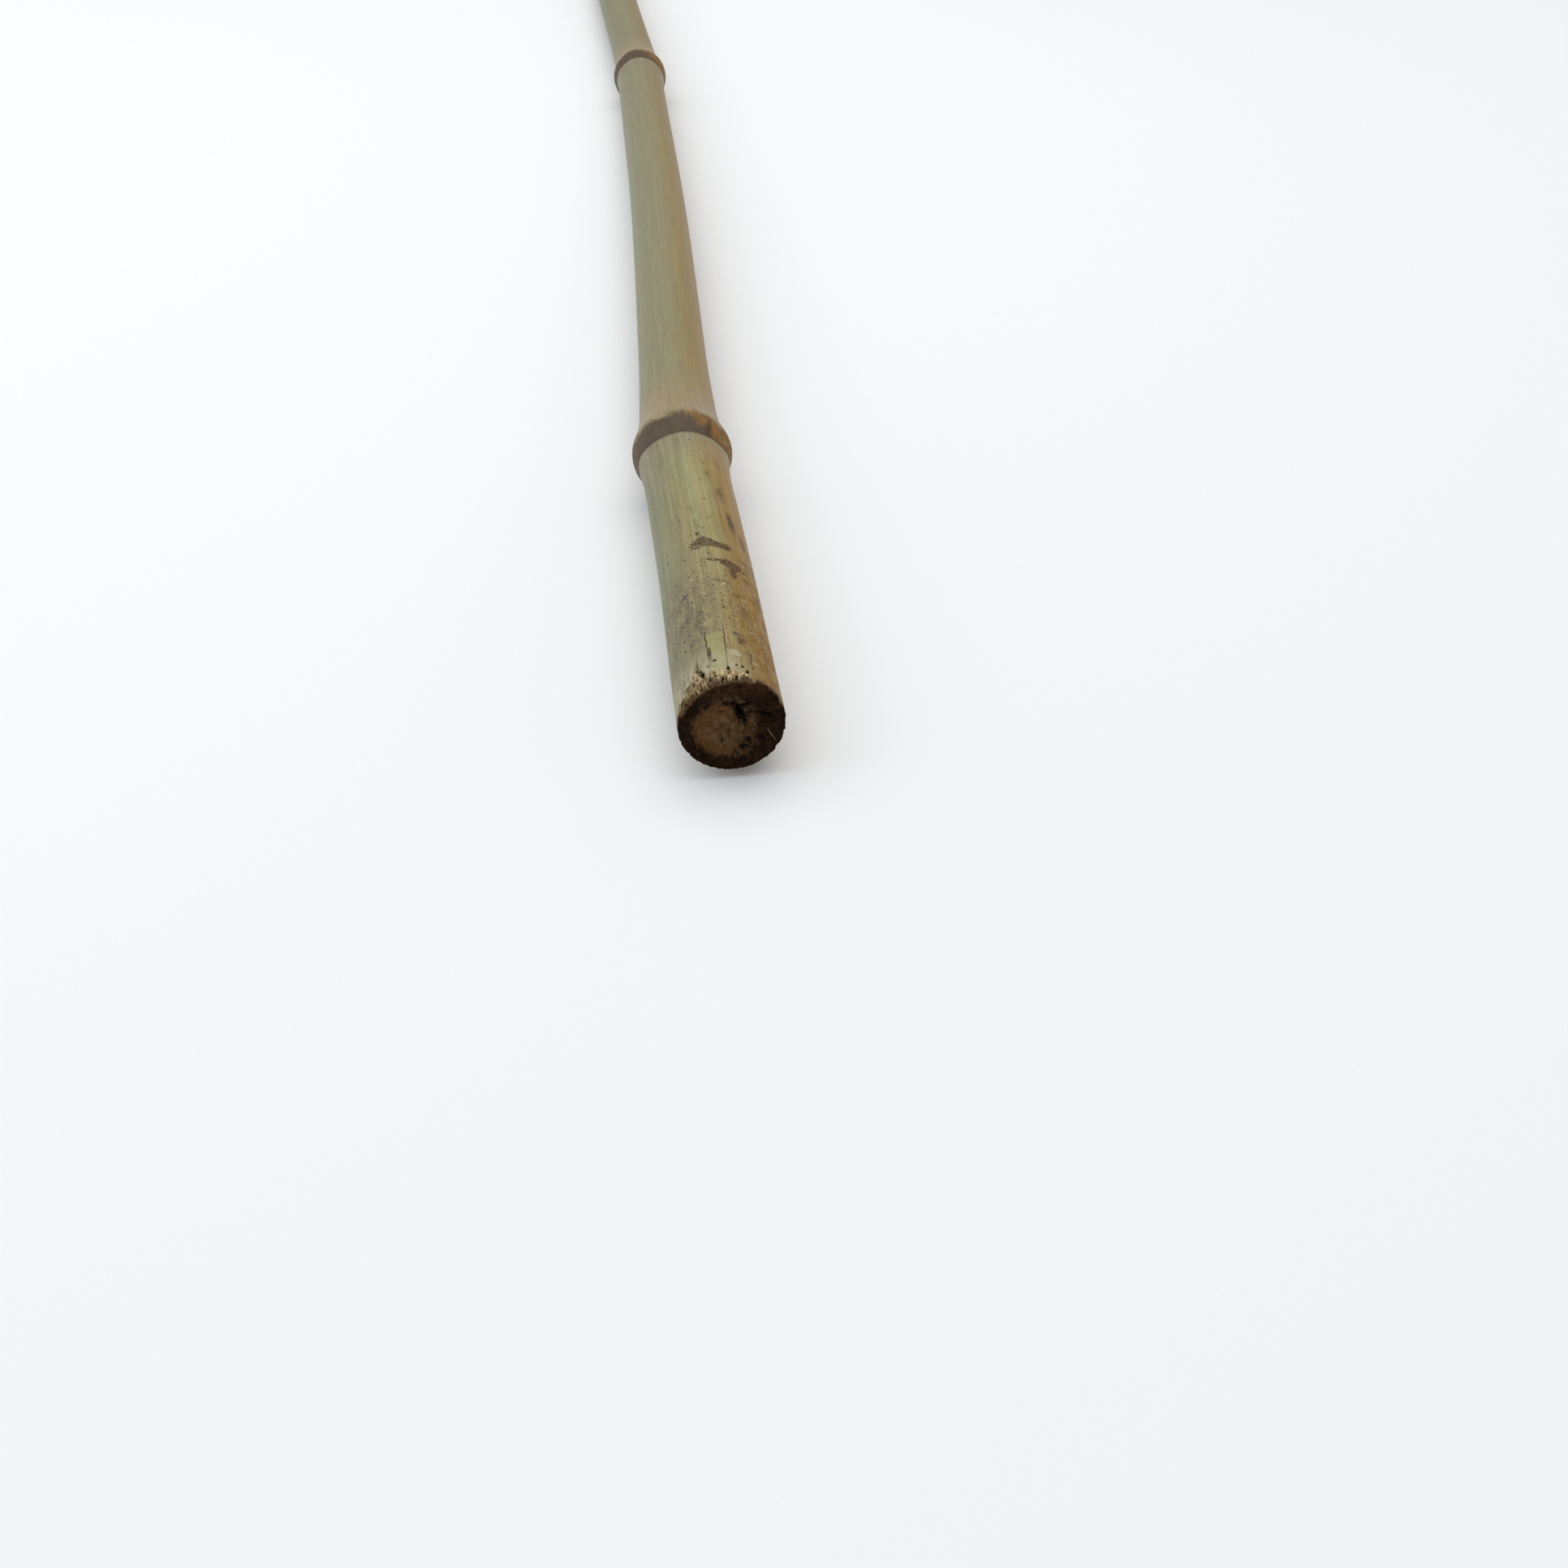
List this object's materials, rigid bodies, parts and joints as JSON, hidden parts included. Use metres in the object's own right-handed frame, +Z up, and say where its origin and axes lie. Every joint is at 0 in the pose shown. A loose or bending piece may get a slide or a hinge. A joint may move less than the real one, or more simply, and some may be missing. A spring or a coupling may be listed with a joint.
{
  "type": "bamboo cane",
  "caption": "Long straight bamboo cane with swollen ringed nodes, a slight zigzag between them and cut ends, lying on its side.",
  "frame": {"origin": "on the surface the cane lies on, under the middle of its box", "axes": "+Y along the cane from the thick butt to the tip, +X to its right seen from the butt, +Z up"},
  "size_m": [0.019, 0.6004, 0.015],
  "materials": {
    "cane_skin": "satin"
  },
  "bodies": {
    "root": {"cane": "cane_skin"}
  },
  "joints": []
}
